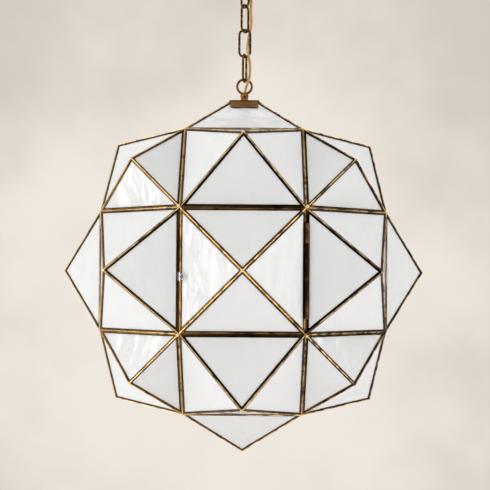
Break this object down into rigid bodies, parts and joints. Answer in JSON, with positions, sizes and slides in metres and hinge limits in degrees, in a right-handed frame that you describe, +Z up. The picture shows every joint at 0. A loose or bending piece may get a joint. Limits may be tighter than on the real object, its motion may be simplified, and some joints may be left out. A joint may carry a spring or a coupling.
{
  "type": "moravian star pendant",
  "caption": "Many-pointed star ceiling pendant of opal glass panes in brass channels, with a hinged front point, hung by an oval-link chain and cord from a round canopy.",
  "frame": {"origin": "middle of the canopy's face on the ceiling", "axes": "+Z up, so the lamp hangs below the origin; -Y is the front, where the door is; +X is the viewer's right"},
  "size_m": [0.508, 0.508, 0.7312],
  "materials": {
    "opal_glass": "glossy opal glass with a faintly wavy surface",
    "antique_brass": "dark antique brass with rubbed, brighter ridges",
    "nickel": "plain nickel plate",
    "zinc_steel": "zinc plate",
    "lamp_brass": "spun brass",
    "black_moulding": "moulded phenolic",
    "lamp_glass": "frosted lamp glass",
    "gold_cord": "clear gold sleeve over stranded wire"
  },
  "bodies": {
    "canopy": {"canopy": "antique_brass", "canopy_collar": "antique_brass", "canopy_loop": "antique_brass", "canopy_nut": "zinc_steel", "canopy_stem": "zinc_steel", "mounting_strap": "zinc_steel", "cord": "gold_cord"},
    "chain_link_1": {"chain_link_1": "antique_brass"},
    "chain_link_2": {"chain_link_2": "antique_brass"},
    "chain_link_3": {"chain_link_3": "antique_brass"},
    "chain_link_4": {"chain_link_4": "antique_brass"},
    "door": {"glass_door": "opal_glass", "channels_door": "antique_brass", "hinge_door_leaf": "antique_brass", "latch_clip": "nickel"},
    "pull_ring": {"pull_ring": "nickel"},
    "star": {"cap_plate": "antique_brass", "cap_tabs": "antique_brass", "channels_bottom": "antique_brass", "channels_lower": "antique_brass", "channels_middle": "antique_brass", "channels_top": "antique_brass", "channels_upper": "antique_brass", "door_stop": "antique_brass", "glass_back": "opal_glass", "glass_back_left": "opal_glass", "glass_back_right": "opal_glass", "glass_bottom": "opal_glass", "glass_front_left": "opal_glass", "glass_front_right": "opal_glass", "glass_left": "opal_glass", "glass_lower_back": "opal_glass", "glass_lower_back_left": "opal_glass", "glass_lower_back_right": "opal_glass", "glass_lower_front": "opal_glass", "glass_lower_front_left": "opal_glass", "glass_lower_front_right": "opal_glass", "glass_lower_left": "opal_glass", "glass_lower_right": "opal_glass", "glass_right": "opal_glass", "glass_top": "opal_glass", "glass_upper_back": "opal_glass", "glass_upper_back_left": "opal_glass", "glass_upper_back_right": "opal_glass", "glass_upper_front": "opal_glass", "glass_upper_front_left": "opal_glass", "glass_upper_front_right": "opal_glass", "glass_upper_left": "opal_glass", "glass_upper_right": "opal_glass", "hinge_frame_leaf": "antique_brass", "hinge_pin": "antique_brass", "holder_cap": "lamp_brass", "holder_core": "black_moulding", "holder_shell": "lamp_brass", "lamp_base": "lamp_brass", "lamp_glass": "lamp_glass", "star_loop": "antique_brass", "star_stem": "zinc_steel", "stem_nut": "zinc_steel", "stem_washer": "zinc_steel"}
  },
  "joints": [
    {"name": "chain_link_1_swing", "type": "hinge", "parent": "canopy", "child": "chain_link_1", "pos_m": [0, 0, -0.06485], "axis": [0.7547, 0.6561, 0], "range_deg": [-15, 15], "deforming": ["cord"]},
    {"name": "chain_link_2_swing", "type": "hinge", "parent": "chain_link_1", "child": "chain_link_2", "pos_m": [0, 0, -0.1003], "axis": [0.6561, -0.7547, 0], "range_deg": [-15, 15], "deforming": ["cord"]},
    {"name": "chain_link_3_swing", "type": "hinge", "parent": "chain_link_2", "child": "chain_link_3", "pos_m": [0, 0, -0.1358], "axis": [0.6018, 0.7986, 0], "range_deg": [-15, 15], "deforming": ["cord"]},
    {"name": "chain_link_4_swing", "type": "hinge", "parent": "chain_link_3", "child": "chain_link_4", "pos_m": [0, 0, -0.1713], "axis": [0.9976, -0.0698, 0], "range_deg": [-15, 15], "deforming": ["cord"]},
    {"name": "star_swing", "type": "hinge", "parent": "chain_link_4", "child": "star", "pos_m": [0, 0, -0.2068], "axis": [0.2924, 0.9563, 0], "range_deg": [-15, 15], "deforming": ["cord"]},
    {"name": "door_swing", "type": "hinge", "parent": "star", "child": "door", "pos_m": [0.08147, -0.19668, -0.47719], "axis": [0, 0, 1], "range_deg": [0, 115]},
    {"name": "pull_ring_lift", "type": "hinge", "parent": "door", "child": "pull_ring", "pos_m": [-0.0788, -0.19784, -0.48509], "axis": [0, 0, -1], "range_deg": [0, 90]}
  ]
}
